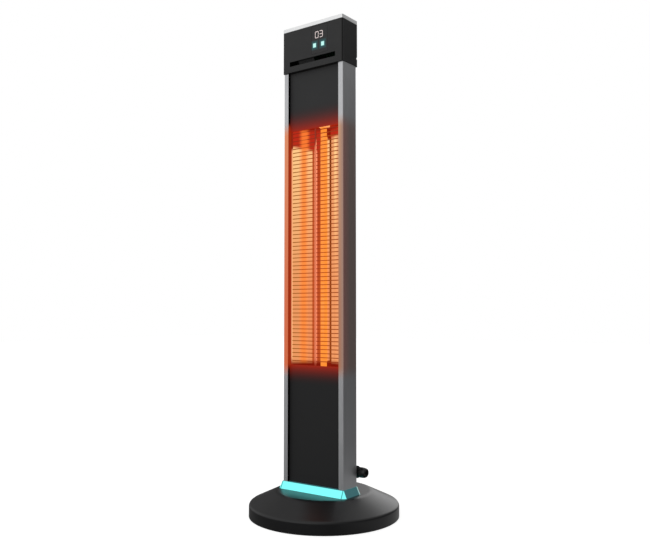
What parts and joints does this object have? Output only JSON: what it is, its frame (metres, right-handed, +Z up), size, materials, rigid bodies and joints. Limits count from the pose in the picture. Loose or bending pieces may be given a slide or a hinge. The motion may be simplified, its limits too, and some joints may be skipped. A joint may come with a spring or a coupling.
{
  "type": "infrared patio heater tower",
  "caption": "Free-standing infrared patio heater tower: round weighted base, slim column with a quartz lamp and reflector behind a wire guard, and a control head with a display.",
  "frame": {"origin": "centre of the round base, on the floor that the feet stand on", "axes": "+Z up along the column, -Y towards the front with the lamp and display, +X to the right seen from the front"},
  "size_m": [0.3026, 0.3026, 1],
  "materials": {
    "black_paint": "satin black powder coat",
    "black_plastic": "fine moulded texture",
    "anodised": "satin anodised extrusion",
    "polished_sheet": "polished reflector sheet",
    "bright_steel": "zinc plated",
    "cast_weight": "as cast",
    "rubber": "moulded",
    "quartz": "clear quartz, glowing",
    "carbon": "carbon winding, glowing",
    "ceramic_white": "steatite ceramic",
    "white_plastic": "moulded",
    "light_plastic": "translucent light guide",
    "lens_plastic": "smoked acrylic",
    "circuit_board": "solder mask"
  },
  "bodies": {
    "tower": {"base_ballast": "cast_weight", "base_bottom_plate": "black_paint", "base_cover": "black_paint", "base_foot_1": "rubber", "base_foot_2": "rubber", "base_foot_3": "rubber", "base_foot_4": "rubber", "base_screw_1": "bright_steel", "base_screw_2": "bright_steel", "base_screw_3": "bright_steel", "base_screw_4": "bright_steel", "cable_entry_boss": "black_plastic", "column_bolt_1": "bright_steel", "column_bolt_2": "bright_steel", "column_bolt_3": "bright_steel", "column_bolt_4": "bright_steel", "column_foot_bracket": "bright_steel", "control_board": "circuit_board", "display_lens": "lens_plastic", "display_module": "circuit_board", "gland_body": "black_plastic", "gland_locknut": "black_plastic", "gland_nut": "black_plastic", "gland_seal": "rubber", "guard_grille": "bright_steel", "head_bracket": "bright_steel", "head_housing": "black_paint", "head_rear_cover": "black_paint", "heat_shield": "anodised", "ir_receiver": "black_plastic", "lamp_cap_bottom": "ceramic_white", "lamp_cap_top": "ceramic_white", "lamp_clip_bottom": "bright_steel", "lamp_clip_top": "bright_steel", "lamp_filament": "carbon", "lamp_tube": "quartz", "led_collar": "light_plastic", "led_strip": "circuit_board", "left_rail": "anodised", "lower_front_panel": "black_paint", "power_relay": "black_plastic", "rear_cap_bottom": "black_plastic", "rear_cap_top": "black_plastic", "rear_cover": "black_paint", "reflector": "polished_sheet", "reflector_end_bottom": "anodised", "reflector_end_top": "anodised", "right_rail": "anodised", "switch_lead": "rubber", "terminal_block": "white_plastic", "thermal_cutoff": "bright_steel", "tip_switch_body": "white_plastic", "tip_switch_spring": "bright_steel", "top_plate": "anodised", "touch_key_left": "light_plastic", "touch_key_right": "light_plastic", "upper_front_panel": "black_paint", "vent_baffle": "black_plastic", "wiring_harness": "rubber"},
    "tip_switch_plunger": {"tip_switch_plunger": "black_plastic"}
  },
  "joints": [
    {"name": "tip_switch_slide", "type": "slide", "parent": "tower", "child": "tip_switch_plunger", "axis": [0, 0, -1], "range_m": [0, 0.005], "stiffness_N_per_m": 300, "springref_m": 0.01, "deforming": ["tip_switch_spring"]}
  ]
}
